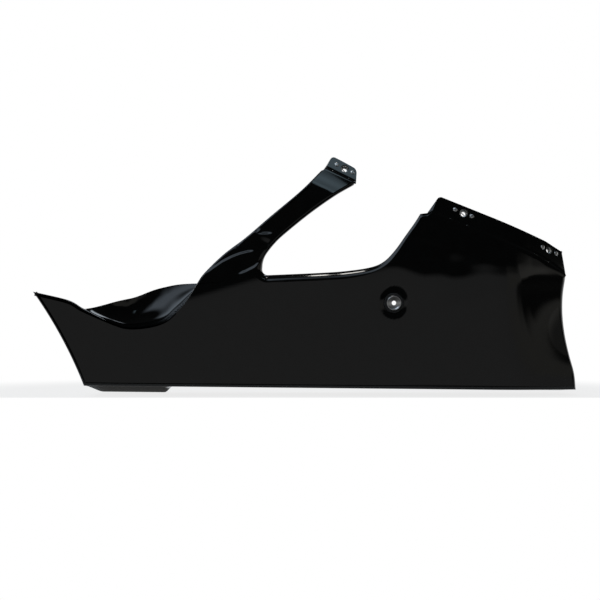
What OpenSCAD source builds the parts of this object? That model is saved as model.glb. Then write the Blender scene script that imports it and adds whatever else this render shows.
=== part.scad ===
/* [Laminate] */
// Thickness of the moulded laminate
wall_t = 2.8; // [2:0.1:4]
// Radius of the rolled edges
roll_r = 5; // [3:0.5:7]
// Radius of the crease round the scoop and up the rear edge of the arm
rim_r = 2.5; // [1.5:0.5:5]
// Depth of the plain return behind the rolled edges
return_d = 14; // [9:1:22]
// Distance from the side wall to the centre line of the motorcycle
half_w = 95; // [75:1:115]
// Drop of the floor from the side wall to the centre line
floor_drop = 5; // [0:1:10]
// Drop of the lower lip at the rear end of the floor
tail_lip_drop = 14; // [8:1:20]
// Length of that lower lip
tail_lip_len = 106; // [70:2:140]

/* [Outline, measured from the side bush] */
// Tail tip, behind the bush
tail_x = 510; // [485:1:535]
// Tail tip, above the bush
tail_z = 16; // [5:1:30]
// Rear foot, behind the bush
rear_foot_x = 438; // [425:1:455]
// Rear foot, below the bush
rear_foot_z = 117; // [105:1:125]
// Hollow of the rear edge
rear_bow = 4.5; // [0:0.5:9]
// Front foot, ahead of the bush
front_foot_x = 262; // [250:1:275]
// Front foot, below the bush
front_foot_z = 124; // [110:1:135]
// Hollow of the front edge round the wheel
front_bow = 12; // [4:0.5:18]
// Lowest point of the scoop's near edge, behind the bush
scoop_x = 362; // [352:1:372]
// Lowest point of the scoop's near edge, below the bush
scoop_z = 35; // [25:1:45]
// Height of the scoop's far edge over its near edge
scoop_h = 51; // [38:1:60]
// Depth of the scoop
scoop_d = 50; // [36:1:62]
// Rear end of the notch between arm and front panel, behind the bush
notch_x = 186; // [176:1:196]
// Floor of the notch at its rear end, above the bush
notch_z = 39.5; // [32:0.5:48]
// Radius of the notch's rear corner
notch_r = 8; // [5:0.5:12]
// Top rear corner of the front panel, ahead of the bush
shoulder_x = 39; // [30:1:46]
// Top rear corner of the front panel, above the bush
shoulder_z = 127; // [115:1:138]

/* [Arm] */
// Left edge of the arm at the joggle of its tab, behind the bush
arm_x = 102; // [92:1:112]
// Left edge of the arm at the joggle of its tab, above the bush
arm_z = 190; // [175:1:205]
// Width of the arm at its tab
arm_w = 53; // [46:0.5:60]
// Fall of the tab's joggle line
tab_fall = 26.6; // [18:0.2:34]
// Length of the tab
tab_len = 21.5; // [19:0.5:28]
// Corner radius of the tab
tab_r = 6; // [3:0.5:9]
// Distance below the tab's joggle line at which the arm's end bends further inwards
tip_len = 30; // [20:1:40]
// Inward bend of the arm's end, as depth per length
tip_slope = 0.24; // [0.1:0.01:0.35]

/* [Front joint flange] */
// Start of the joggle line, ahead of the shoulder
joggle_start = 16; // [12:0.5:22]
// Front end of the joggle line, ahead of the bush
front_top_x = 252; // [242:1:262]
// Front end of the joggle line, above the bush
front_top_z = 39; // [30:1:48]
// Width of the joint flange
flange_w = 26.5; // [24:0.5:32]
// Depth of the joggles
joggle_d = 3; // [2:0.25:4]
// Run of the joggles
joggle_run = 4; // [3:0.25:6]

/* [Form of the side wall] */
// Height over the bush at which the wall starts to lean inwards
lean_z = 42; // [34:1:50]
// Inward lean, as depth per height
lean_slope = 0.2; // [0.1:0.01:0.3]
// Height of the bend into the lean
lean_bend = 24; // [10:1:40]
// Drop of the lean's start towards the scoop, as height per length
lean_fall = 0.3; // [0.2:0.02:0.36]
// Rise of the lean's start behind the scoop, as height per length
lean_rise = 0.9; // [0.8:0.02:1.1]
// Distance ahead of the bush at which the wall turns in towards the wheel
turn_x = 140; // [130:1:150]
// Length of the bend into that turn
turn_bend = 60; // [40:1:66]
// Inward turn at the front, as depth per length
turn_slope = 0.6; // [0.3:0.02:0.75]

/* [Quarter-turn receptacles] */
// Distance between the two rivets of a receptacle
rivet_pitch = 25.4; // [22:0.2:30]
// Diameter of the opening in the flange for the stud
stud_hole_d = 11.5; // [10:0.5:13]
// Bore of the receptacle's cup
stud_bore_d = 6.4; // [5:0.1:8]
// Sheet thickness of the receptacle
plate_t = 1; // [0.8:0.1:1.5]
// Depth of the receptacle's cup
cup_h = 4; // [3:0.25:6]
// Radius of a receptacle's lugs
lug_r = 4.8; // [4:0.1:6]
// Wire diameter of the spring
wire_d = 1.4; // [1:0.1:1.8]
// Distance of the tab's receptacle from the joggle line
tab_seat = 14.3; // [12:0.1:16]
// Distance of the flange's receptacles from the joggle line
flange_seat = 17.6; // [14:0.1:20]
// Upper receptacle, along the flange from its rear end
upper_at = 42; // [30:1:70]
// Lower receptacle, along the flange from its rear end
lower_at = 180; // [165:1:182]

/* [Blind rivets] */
// Shank diameter
rivet_d = 3.2; // [3:0.1:4]
// Head diameter
rivet_head_d = 6.6; // [6:0.1:8]
// Head height
rivet_head_h = 1.1; // [0.8:0.1:1.5]
// Mandrel diameter
mandrel_d = 1.8; // [1.5:0.1:2]

/* [Side bush] */
// Bore of the bush
bush_bore_d = 6.4; // [5:0.1:8.5]
// Diameter of the bush's head
bush_head_d = 20; // [17:0.5:22]
// Outer diameter of the rubber grommet
grommet_d = 28; // [25:0.5:31]
// Thickness of the grommet's two lips
grommet_lip = 2.2; // [1.5:0.1:2.6]
// Diameter of the hole in the side wall
wall_hole_d = 21; // [18:0.5:23]
// Depth of the dimple round the bush
dimple_h = 2.5; // [1.5:0.25:3.5]
// Diameter of the dimple at the side wall's face
dimple_d = 43; // [38:0.5:50]

/* [Hidden] */

// Clearances between pieces
seat_gap = 0.05;
hole_gap = 0.1;
// Corner radius of the flange and where its straight part ends, from the front end of the joggle line
flange_r = 6;
flange_turn = [-41, 25.4];
// Lengths of the bends at the arm's end and at the ends of the floor
tip_bend = 5;
floor_bend = 14;
lip_bend = 12;
// Divisions of the shell
cell = 12;
wall_rows = 11;
flange_steps = 10;
roll_steps = 4;
edge_steps = 3;
ring_rows = roll_steps + edge_steps;

// Small vector helpers
function unit(v) = v / norm(v);
function mix(a, b, t) = a + (b - a) * t;
function ease(t) = let (c = min(1, max(0, t))) c * c * (3 - 2 * c);
function flat(lists) = [for (l = lists) each l];
function reversed(l) = [for (i = [len(l) - 1:-1:0]) l[i]];

// A ramp that starts level and reaches a slope of 1 after the length w
function bend(d, w) = d <= 0 ? 0 : d < w ? d * d / (2 * w) : d - w / 2;

// Height at which the wall starts to lean: it drops towards the scoop and rises again behind it
function lean_line(x) = lean_z - lean_fall * bend(-150 - x, 30) + lean_rise * bend(-300 - x, 30);

// Depth of the outer face behind the flat of the side wall, at x and z
function turn_at(z) = turn_slope * (0.45 + 0.55 * ease((z + 110) / 130));
function tip_at(x, z) = ([x, z] - tab_start) * tab_up + tip_len;
function face_y(x, z) =
    lean_slope * bend(z - lean_line(x) + lean_bend / 2, lean_bend)
    + turn_at(z) * bend(x - turn_x, turn_bend)
    + (x < shoulder_x - arm_w ? tip_slope * bend(tip_at(x, z), tip_bend) : 0);
function face_slope(x, z) = [face_y(x + 0.5, z) - face_y(x - 0.5, z), face_y(x, z + 0.5) - face_y(x, z - 0.5)];
function stretch(x, z) = let (s = face_slope(x, z)) sqrt(1 + s * s);

// An edge station: place, offset of the free edge, depth of the free edge, roll, hollow, joggle
function station(p, e = [0, 0], d = return_d, r = roll_r, hollow = 0, joggle = 0) =
    [p[0], p[1], e[0], e[1], d, r, hollow, joggle];
function place(s) = [s[0], s[1]];
function offset_of(s) = [s[2], s[3]];

// A smooth curve through stations: all their values run on one spline, the hollow and the joggle within 0 to 1
function spline(s, i, t) =
    let (
        n = len(s) - 1,
        p1 = s[i], p2 = s[i + 1],
        p0 = i > 0 ? s[i - 1] : 2 * p1 - p2,
        p3 = i + 2 <= n ? s[i + 2] : 2 * p2 - p1,
        q = 0.5 * ((2 * p1) + (p2 - p0) * t + (2 * p0 - 5 * p1 + 4 * p2 - p3) * t * t
            + (3 * p1 - p0 - 3 * p2 + p3) * t * t * t)
    )
    [q[0], q[1], q[2], q[3], q[4], q[5], min(1, max(0, q[6])), mix(p1[7], p2[7], t)];
function steps_between(a, b) = max(1, round(norm(place(a) - place(b)) / cell));
function curve(s) = [
    for (i = [0:len(s) - 2])
        let (n = steps_between(s[i], s[i + 1]))
            for (k = [0:n - 1]) spline(s, i, k / n),
    s[len(s) - 1]
];

// The same curve in n even steps
function along(s, n) =
    let (
        c = [for (i = [0:len(s) - 2]) for (k = [0:11]) spline(s, i, k / 12), s[len(s) - 1]],
        d = [for (i = 0, q = 0; i < len(c); q = q + (i + 1 < len(c) ? norm(place(c[i + 1]) - place(c[i])) : 0), i = i + 1) q],
        all = d[len(d) - 1]
    )
    [for (k = [0:n]) let (q = all * k / n, i = search_step(d, q), t = (q - d[i]) / (d[i + 1] - d[i])) mix(c[i], c[i + 1], t)];
function search_step(d, q, i = 0) = i >= len(d) - 2 || q <= d[i + 1] ? i : search_step(d, q, i + 1);

// Corners of the outline
tail_tip = [-tail_x, tail_z];
rear_foot = [-rear_foot_x, -rear_foot_z];
front_foot = [front_foot_x, -front_foot_z];
notch_c = [-notch_x + notch_r, notch_z + notch_r];
notch_mid = notch_c + notch_r * [cos(225), sin(225)];
shoulder = [shoulder_x, shoulder_z];
scoop_low = [-scoop_x, -scoop_z];
arm_corner = [-arm_x, arm_z];
tab_dir = [cos(tab_fall), -sin(tab_fall)];
tab_up = [sin(tab_fall), cos(tab_fall)];
tab_start = arm_corner + [6, 3];
tab_end = tab_start + (arm_w - 4) * tab_dir;
joggle_a = shoulder + [joggle_start, 1.4];
joggle_b = [front_top_x, front_top_z];
straight_end = joggle_b + flange_turn;
flange_dir = unit(straight_end - joggle_a);
flange_up = [-flange_dir[1], flange_dir[0]];
arm_root = [-278, 28];

// Top edge from the tail tip to the root of the arm, round the scoop
scoop_edge = curve([
    station(tail_tip),
    station([-460, 4]),
    station([-438, -8]),
    station([-398, -28], [6, 31], 0.62 * scoop_d, rim_r, 1),
    station(scoop_low + [-12, 0.2], [5, scoop_h * 0.85], 0.86 * scoop_d, rim_r, 1),
    station(scoop_low + [18, 2.5], [0, scoop_h], scoop_d, rim_r, 1),
    station([-323, -25.5], [0, scoop_h - 1.5], scoop_d, rim_r, 1),
    station([-309, -14], [2, scoop_h * 0.8], scoop_d, rim_r, 1),
    station([-295, 0.5], [8, scoop_h * 0.54], scoop_d, rim_r, 1),
    station([-285, 15.5], [15, scoop_h * 0.25], scoop_d * 0.95, rim_r, 1),
    station(arm_root, [22, 2], scoop_d * 0.86, rim_r, 0.7)
]);

// Rear edge of the arm, from its root to the joggle of the tab
arm_rear = curve([
    station(arm_root, [22, 2], scoop_d * 0.86, rim_r, 0.7),
    station([-268, 42.5], [16, 0], scoop_d * 0.7, rim_r, 0.3),
    station([-241, 69], [3, -1], return_d * 1.4, rim_r),
    station([-209, 93.5], r = rim_r),
    station([-178, 120.5], r = rim_r),
    station([-131, 160.5], r = rim_r),
    station(arm_corner, r = rim_r)
]);
arm_rows = len(arm_rear) - 1;

// Front edge of the arm, from the middle of the notch corner up; it has as many steps as the rear edge
arc_steps = 2;
function notch_arc(a) = station(notch_c + notch_r * [cos(a), sin(a)]);
arm_front_upper = along([
    notch_arc(180),
    station([-185, 58]),
    station([-180.5, 69]),
    station([-167.5, 85.5]),
    station([-152, 100]),
    station([-117, 128.5]),
    station([-81, 154]),
    station(tab_end)
], arm_rows - arc_steps);
arm_front = concat(
    [for (k = [0:arc_steps - 1]) notch_arc(225 - 45 * k / arc_steps)],
    arm_front_upper
);

// Joggle line of the tab, with the free edge rounded at both corners
function round_off(s, l, r) =
    let (e = min(s, l - s)) e >= r ? 0 : r - sqrt(r * r - (r - e) * (r - e));
tab_line = norm(tab_end - tab_start);
tab_steps = [0, 0.3 * tab_r, tab_r, tab_line / 2, tab_line - tab_r, tab_line - 0.3 * tab_r, tab_line];
function tab_station(s) =
    let (u = unit(mix(tab_up, [0.08, 1], s / tab_line)))
    station(tab_start + s * tab_dir, u * (tab_len - round_off(s, tab_line, tab_r)), joggle_d, roll_r, 0, 1);
tab_edge = concat([station(arm_corner)], [for (s = tab_steps) tab_station(s)]);
root_steps = len(tab_edge) - 1;

// Floor of the notch and rear edge of the front panel, up to its shoulder
notch_edge = concat(
    [for (k = [0:arc_steps - 1]) notch_arc(225 + 45 * k / arc_steps)],
    curve([
        notch_arc(270),
        station([-108.5, 42.5]),
        station([-67.5, 45.3]),
        station([-33, 50.5]),
        station([-14, 58.5]),
        station([2, 74.5]),
        station([18, 96.5]),
        station([31, 114.5]),
        station(shoulder)
    ])
);

// Joggle line of the front joint flange
flange_line = norm(straight_end - joggle_a);
function flange_station(s) =
    station(joggle_a + s * flange_dir, flange_up * (flange_w - round_off(s, 2 * flange_line, flange_r)),
        joggle_d, roll_r, 0, 1);
flange_edge = concat(
    [station(shoulder), station(joggle_a - [6, 0.2], [0, 0], return_d * 0.5)],
    [for (s = [0, 0.3 * flange_r, flange_r]) flange_station(s)],
    [for (k = [1:flange_steps]) flange_station(mix(flange_r, flange_line, k / flange_steps))],
    [
        station(mix(straight_end, joggle_b, 0.5), flange_w * [0.53, 0.87], joggle_d, roll_r, 0, 1),
        station(joggle_b, flange_w * [-0.21, 1.38], joggle_d, roll_r, 0, 1)
    ]
);

// Front edge, from the foot up to the joggle
front_edge = along([
    station(front_foot),
    station([front_foot_x - 2.5, -front_foot_z + 24]),
    station([front_foot_x - front_bow + 3, -74]),
    station([front_foot_x - front_bow - 2, -46]),
    station([front_foot_x - front_bow - 4, -17]),
    station([front_foot_x - front_bow - 2.5, 12]),
    station(joggle_b)
], wall_rows);

// Rear edge, from the foot up to the tail tip
rear_edge = [
    for (k = [0:wall_rows])
        let (t = k / wall_rows, p = mix(rear_foot, tail_tip, t), side = unit([tail_tip[1] - rear_foot[1], tail_x - rear_foot_x]))
            station(p + 4 * t * (1 - t) * rear_bow * side)
];

// Bottom edge with the floor, under the whole top edge
root_line = [for (k = [0:root_steps]) station(mix(arm_root, notch_mid, k / root_steps))];
function tail_of(l) = [for (i = [1:len(l) - 1]) l[i]];
top_edge = concat(scoop_edge, tail_of(root_line), tail_of(notch_edge), tail_of(flange_edge));
cols = len(top_edge) - 1;
root_a = len(scoop_edge) - 1;
root_b = root_a + root_steps;
function bottom_x(x) = lookup(x, [[-tail_x, -rear_foot_x], [-300, -285], [150, 148], [front_top_x, front_foot_x]]);
function floor_share(x) = ease(min(x + rear_foot_x, front_foot_x - x) / floor_bend);
function lip_share(x) = 1 - ease((x + rear_foot_x - tail_lip_len) / lip_bend);
bottom_edge = [
    for (i = [0:cols])
        let (
            x = i == 0 ? -rear_foot_x : i == cols ? front_foot_x : bottom_x(top_edge[i][0]),
            z = -mix(rear_foot_z, front_foot_z, (x + rear_foot_x) / (front_foot_x + rear_foot_x)),
            share = floor_share(x),
            drop = mix(floor_drop, tail_lip_drop, lip_share(x))
        )
        station([x, z], [0, -drop * share], mix(return_d, half_w - face_y(x, z), share))
];

// The closed edge loop, anticlockwise as seen from outside
function but_last(l) = [for (i = [0:1:len(l) - 2]) l[i]];
loop = concat(
    but_last(bottom_edge),
    but_last(front_edge),
    but_last(reversed(flange_edge)),
    but_last(reversed(notch_edge)),
    but_last(arm_front),
    but_last(reversed(tab_edge)),
    but_last(reversed(arm_rear)),
    but_last(reversed(scoop_edge)),
    but_last(reversed(rear_edge))
);
ring_n = len(loop);
function wrap(l) = (l + ring_n) % ring_n;
outward = [
    for (l = [0:ring_n - 1])
        let (d = unit(place(loop[wrap(l + 1)]) - place(loop[l])) + unit(place(loop[l]) - place(loop[wrap(l - 1)])))
            unit([d[1], -d[0]])
];

// Where each side of the two grids starts in the loop
at_front = cols;
at_flange = at_front + wall_rows;
at_notch = at_flange + len(flange_edge) - 1;
at_arm_front = at_notch + len(notch_edge) - 1;
at_tab = at_arm_front + arm_rows;
at_arm_rear = at_tab + root_steps;
at_scoop = at_arm_rear + arm_rows;
at_rear = at_scoop + len(scoop_edge) - 1;

// The face-level point of the loop, one roll in from the edge
function inset(l) = place(loop[l]) - (1 - loop[l][7]) * loop[l][5] * outward[l];
face_loop = [for (l = [0:ring_n - 1]) inset(l)];

// Loop number of each top edge point of the side wall, left to right
function top_loop(i) =
    i <= root_a ? at_rear - i
    : i < root_b ? -1
    : i <= root_b + len(notch_edge) - 1 ? at_arm_front - (i - root_b)
    : at_notch - (i - root_b - len(notch_edge) + 1);
function top_point(i) =
    let (l = top_loop(i))
    l >= 0 ? face_loop[wrap(l)] : mix(face_loop[at_scoop], face_loop[at_arm_front], (i - root_a) / root_steps);

// Blend of four edges over a grid
function coons(b, t, l, r, u, v, c) =
    mix(b, t, v) + mix(l, r, u) - mix(mix(c[0], c[1], u), mix(c[2], c[3], u), v);
function row_share(j) = let (t = j / wall_rows) t + 0.35 * t * (1 - t);
wall_c = [face_loop[0], face_loop[at_front], top_point(0), top_point(cols)];
function wall_point(i, j) =
    j == 0 ? face_loop[i]
    : j == wall_rows ? top_point(i)
    : i == 0 ? face_loop[wrap(ring_n - j)]
    : i == cols ? face_loop[at_front + j]
    : coons(face_loop[i], top_point(i), face_loop[wrap(ring_n - j)], face_loop[at_front + j],
        i / cols, row_share(j), wall_c);
arm_c = [top_point(root_a), top_point(root_b), face_loop[at_arm_rear], face_loop[at_tab]];
function arm_point(m, k) =
    m == 0 ? face_loop[wrap(at_scoop - k)]
    : m == root_steps ? face_loop[at_arm_front + k]
    : k == arm_rows ? face_loop[at_arm_rear - m]
    : coons(top_point(root_a + m), face_loop[at_arm_rear - m], face_loop[at_scoop - k], face_loop[at_arm_front + k],
        m / root_steps, k / arm_rows, arm_c);

// Profile across an edge: offset in the face's plane and depth, at ring row k
function ring_share(k) = max(0, k - roll_steps) / edge_steps;
function return_offset(s, out, k) =
    let (a = min(1, k / roll_steps) * 90, t = ring_share(k))
    out * s[5] * (sin(a) - 1) + offset_of(s) * mix(t, 1 - cos(90 * t), s[6]);
function return_depth(s, k) =
    let (a = min(1, k / roll_steps) * 90, t = ring_share(k))
    s[5] * (1 - cos(a)) + (s[4] - s[5]) * mix(t, sin(90 * t), s[6]);
function joggle_offset(s, k) =
    let (e = offset_of(s), l = max(norm(e), 0.01), t = ring_share(k))
    e / l * mix(joggle_run * min(1, k / roll_steps), l, t);
function joggle_depth(k) = joggle_d * ease(k / roll_steps);
function ring_offset(l, k) =
    let (s = loop[l]) mix(return_offset(s, outward[l], k), joggle_offset(s, k), s[7]);
function ring_depth(l, k) =
    let (s = loop[l]) mix(return_depth(s, k), joggle_depth(k), s[7]);
function profile(l, k) = [ring_offset(l, k) * outward[l], ring_depth(l, k)];
function profile_normal(l, k) =
    let (
        a = k == 0 ? profile(l, 0) - [1, 0] : profile(l, k - 1),
        b = k == ring_rows ? profile(l, k) : profile(l, k + 1),
        d = unit(b - a)
    )
    [-d[1], d[0]];

// Points in space: the outer skin and the inner skin behind it
function outer(p, d = 0) = [p[0], face_y(p[0], p[1]) + d, p[1]];
function inner(p) = outer(p, wall_t * stretch(p[0], p[1]));
function ring_outer(l, k) = outer(place(loop[l]) + ring_offset(l, k), ring_depth(l, k));
function ring_inner(l, k) =
    let (
        n = profile_normal(l, k),
        p = place(loop[l]) + ring_offset(l, k) + outward[l] * n[0] * wall_t,
        g = stretch(p[0], p[1])
    )
    outer(p, ring_depth(l, k) + n[1] * wall_t * g);

wall_n = (cols + 1) * (wall_rows + 1);
arm_n = (root_steps + 1) * arm_rows;
skin_n = wall_n + arm_n + ring_rows * ring_n;
function wall_i(i, j) = i * (wall_rows + 1) + j;
function arm_i(m, k) = k == 0 ? wall_i(root_a + m, wall_rows) : wall_n + m * arm_rows + k - 1;
function loop_i(l0) =
    let (l = wrap(l0))
    l < at_front ? wall_i(l, 0)
    : l <= at_flange ? wall_i(cols, l - at_front)
    : l <= at_arm_front ? wall_i(cols - (l - at_flange), wall_rows)
    : l <= at_tab ? arm_i(root_steps, l - at_arm_front)
    : l <= at_arm_rear ? arm_i(root_steps - (l - at_tab), arm_rows)
    : l <= at_scoop ? arm_i(0, at_scoop - l)
    : l <= at_rear ? wall_i(root_a - (l - at_scoop), wall_rows)
    : wall_i(0, ring_n - l);
function ring_i(l, k) = k == 0 ? loop_i(l) : wall_n + arm_n + (k - 1) * ring_n + wrap(l);

face_points = concat(
    [for (i = [0:cols]) for (j = [0:wall_rows]) wall_point(i, j)],
    [for (m = [0:root_steps]) for (k = [1:arm_rows]) arm_point(m, k)]
);
skin_outer = concat(
    [for (p = face_points) outer(p)],
    [for (k = [1:ring_rows]) for (l = [0:ring_n - 1]) ring_outer(l, k)]
);
skin_inner = concat(
    [for (p = face_points) inner(p)],
    [for (k = [1:ring_rows]) for (l = [0:ring_n - 1]) ring_inner(l, k)]
);
function two(a, b, c, d) = [[a, b, c], [a, c, d]];
skin_faces = concat(
    flat([for (i = [0:cols - 1]) for (j = [0:wall_rows - 1])
        two(wall_i(i, j), wall_i(i, j + 1), wall_i(i + 1, j + 1), wall_i(i + 1, j))]),
    flat([for (m = [0:root_steps - 1]) for (k = [0:arm_rows - 1])
        two(arm_i(m, k), arm_i(m, k + 1), arm_i(m + 1, k + 1), arm_i(m + 1, k))]),
    flat([for (k = [0:ring_rows - 1]) for (l = [0:ring_n - 1])
        two(ring_i(l, k), ring_i(l + 1, k), ring_i(l + 1, k + 1), ring_i(l, k + 1))])
);
rim_faces = flat([
    for (l = [0:ring_n - 1])
        two(ring_i(l, ring_rows), ring_i(l + 1, ring_rows),
            skin_n + ring_i(l + 1, ring_rows), skin_n + ring_i(l, ring_rows))
]);
module shell_skin() {
    polyhedron(
        points = concat(skin_outer, skin_inner),
        faces = concat(
            skin_faces,
            [for (f = skin_faces) [skin_n + f[0], skin_n + f[2], skin_n + f[1]]],
            rim_faces
        ),
        convexity = 8
    );
}

// Frames of the places where hardware sits: origin on the outer face, X along the rivets, Z outwards
function face_frame(p, along_dir, depth) =
    let (
        s = face_slope(p[0], p[1]),
        n = unit([s[0], -1, s[1]]),
        flat_dir = [along_dir[0], s * along_dir, along_dir[1]],
        x = unit(flat_dir),
        y = cross(n, x),
        o = outer(p) - depth * n
    )
    [
        [x[0], y[0], n[0], o[0]],
        [x[1], y[1], n[1], o[1]],
        [x[2], y[2], n[2], o[2]],
        [0, 0, 0, 1]
    ];
function joggle_depth_at(p) = joggle_d / stretch(p[0], p[1]);
tab_at = tab_start + tab_line / 2 * tab_dir + tab_seat * tab_up;
upper_p = joggle_a + upper_at * flange_dir + flange_seat * flange_up;
lower_p = joggle_a + lower_at * flange_dir + flange_seat * flange_up;
tab_frame = face_frame(tab_at, tab_dir, joggle_depth_at(tab_at));
upper_frame = face_frame(upper_p, flange_dir, joggle_depth_at(upper_p));
lower_frame = face_frame(lower_p, flange_dir, joggle_depth_at(lower_p));

// Heights in a hardware frame, from the outer face inwards
plate_top = -wall_t - seat_gap;
plate_back = plate_top - plate_t;
clamp_back = plate_back - wire_d;
blind_len = 2.6;
cup_r = stud_hole_d / 2;
loop_mean_r = rivet_d / 2 + hole_gap + wire_d / 2;

module hardware_holes() {
    translate([0, 0, -wall_t - 6])
        cylinder(r = stud_hole_d / 2, h = wall_t + 12, $fn = 48);
    for (side = [-1, 1])
        translate([side * rivet_pitch / 2, 0, -wall_t - 6])
            cylinder(r = rivet_d / 2 + hole_gap, h = wall_t + 12, $fn = 32);
}

module side_hole() {
    rotate([90, 0, 0]) {
        translate([0, 0, -wall_t - dimple_h - 4])
            cylinder(d = wall_hole_d, h = wall_t + dimple_h + 8, $fn = 64);
        translate([0, 0, -dimple_h])
            cylinder(d1 = dimple_d - 13, d2 = dimple_d, h = dimple_h + 0.2, $fn = 64);
    }
}

// Dimpled seat of the grommet, standing behind the side wall
module side_seat() {
    rotate([90, 0, 0])
        translate([0, 0, -wall_t - dimple_h])
            cylinder(d1 = dimple_d - 9, d2 = dimple_d + 4, h = dimple_h + wall_t / 2, $fn = 64);
}

module panel_shell() {
    color([0.07, 0.08, 0.075]) {
        difference() {
            shell_skin();
            side_hole();
            for (m = [tab_frame, upper_frame, lower_frame])
                multmatrix(m) hardware_holes();
        }
        difference() {
            side_seat();
            side_hole();
        }
    }
}

// Pressed plate with two lugs and a cup that takes the stud
module lug_outline() {
    waist = cup_r + 2.2;
    web = lug_r - 0.3;
    circle(r = waist, $fn = 64);
    for (side = [-1, 1]) translate([side * rivet_pitch / 2, 0]) circle(r = lug_r, $fn = 48);
    polygon([
        [-rivet_pitch / 2, -web],
        [0, -waist + 0.3],
        [rivet_pitch / 2, -web],
        [rivet_pitch / 2, web],
        [0, waist - 0.3],
        [-rivet_pitch / 2, web]
    ]);
}

module receptacle(m) {
    bore_r = stud_bore_d / 2;
    in_r = cup_r - 0.2;
    multmatrix(m) color([0.62, 0.63, 0.62]) {
        difference() {
            translate([0, 0, plate_back]) linear_extrude(plate_t) lug_outline();
            translate([0, 0, plate_back - 1]) cylinder(r = in_r + plate_t * 0.3, h = plate_t + 2, $fn = 64);
            for (side = [-1, 1])
                translate([side * rivet_pitch / 2, 0, plate_back - 1])
                    cylinder(r = rivet_d / 2 + hole_gap, h = plate_t + 2, $fn = 32);
        }
        rotate_extrude($fn = 64)
            polygon([
                [in_r, plate_top - 0.2],
                [in_r, plate_back - cup_h + plate_t + 1.6],
                [in_r - 1, plate_back - cup_h + plate_t + 0.6],
                [bore_r + 1, plate_back - cup_h + plate_t],
                [bore_r, plate_back - cup_h + plate_t - 0.2],
                [bore_r, plate_back - cup_h - 0.2],
                [in_r - 0.6, plate_back - cup_h],
                [in_r + plate_t, plate_back - cup_h + 1.6],
                [in_r + plate_t, plate_top - 0.2]
            ]);
    }
}

// Round tube of radius r swept along points by rings of n sides
function tube_frame(path, i) =
    let (
        a = path[max(0, i - 1)], b = path[min(len(path) - 1, i + 1)],
        t = unit(b - a),
        side = unit(cross(t, [0, 0, 1]))
    )
    [side, cross(side, t)];
module tube(path, r, n = 8) {
    last = len(path) - 1;
    polyhedron(
        points = [
            for (i = [0:last])
                let (f = tube_frame(path, i))
                    for (k = [0:n - 1]) path[i] + r * (cos(360 * k / n) * f[0] + sin(360 * k / n) * f[1])
        ],
        faces = concat(
            flat([for (i = [0:last - 1]) for (k = [0:n - 1])
                two(i * n + k, (i + 1) * n + k, (i + 1) * n + (k + 1) % n, i * n + (k + 1) % n)]),
            [[for (k = [0:n - 1]) k], [for (k = [n - 1:-1:0]) last * n + k]]
        )
    );
}

// Wire spring: an eye round each rivet, and a bar that crosses behind the cup
module spring(m) {
    eye = [for (a = [330:-30:90]) [loop_mean_r * cos(a) - rivet_pitch / 2, loop_mean_r * sin(a), 0]];
    low = -cup_h - 0.3 - hole_gap;
    run = cup_r + plate_t + wire_d / 2 + 0.5;
    half = concat(eye, [
        [-run - 0.7, loop_mean_r, -0.1],
        [-run, loop_mean_r, -1],
        [-run + 0.1, loop_mean_r, low + 1],
        [-run + 1, loop_mean_r - 0.1, low],
        [-3, loop_mean_r / 2, low]
    ]);
    path = concat(half, [for (i = [len(half) - 1:-1:0]) [-half[i][0], -half[i][1], half[i][2]]]);
    multmatrix(m) translate([0, 0, plate_back - wire_d / 2])
        color([0.5, 0.5, 0.52]) tube(path, wire_d / 2);
}

// Set blind rivet: domed head outside, shank, and the bulge that clamps the spring's eye
module rivet(m, side) {
    hole_r = mandrel_d / 2 + 0.02;
    multmatrix(m) translate([side * rivet_pitch / 2, 0, 0]) color([0.7, 0.7, 0.69])
        rotate_extrude($fn = 48)
            polygon([
                [hole_r, rivet_head_h],
                [rivet_head_d * 0.25, rivet_head_h],
                [rivet_head_d * 0.4, rivet_head_h * 0.75],
                [rivet_head_d / 2, 0.2],
                [rivet_head_d / 2, 0],
                [rivet_d / 2, 0],
                [rivet_d / 2, clamp_back],
                [rivet_d / 2 + 0.9, clamp_back],
                [rivet_d / 2 + 0.9, clamp_back - blind_len + 0.8],
                [rivet_d / 2 + 0.2, clamp_back - blind_len],
                [hole_r, clamp_back - blind_len]
            ]);
}

// Broken-off mandrel held in a rivet
module mandrel(m, side) {
    multmatrix(m) translate([side * rivet_pitch / 2, 0, 0]) color([0.3, 0.3, 0.32])
        rotate_extrude($fn = 32)
            polygon([
                [0, rivet_head_h - 0.35],
                [mandrel_d / 2, rivet_head_h - 0.45],
                [mandrel_d / 2, clamp_back - blind_len],
                [rivet_d / 2, clamp_back - blind_len],
                [rivet_d / 2 - 0.2, clamp_back - blind_len - 1],
                [0, clamp_back - blind_len - 1.5]
            ]);
}

// Rubber ring in the dimple, with a groove that grips the edge of the wall's hole
module side_grommet() {
    neck_r = wall_hole_d / 2 - hole_gap;
    in_r = bush_bore_d / 2 + 2.2 + hole_gap;
    lip = grommet_lip;
    seat = -dimple_h;
    back = -dimple_h - wall_t;
    rotate([90, 0, 0]) color([0.09, 0.09, 0.09])
        rotate_extrude($fn = 64)
            polygon([
                [in_r, seat + lip],
                [grommet_d / 2 - 0.6, seat + lip],
                [grommet_d / 2, seat + lip - 0.6],
                [grommet_d / 2, seat + seat_gap],
                [neck_r, seat + seat_gap],
                [neck_r, back - seat_gap],
                [grommet_d / 2 - 0.5, back - seat_gap],
                [grommet_d / 2 - 0.5, back - lip + 0.6],
                [grommet_d / 2 - 1.1, back - lip],
                [in_r, back - lip]
            ]);
}

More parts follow.
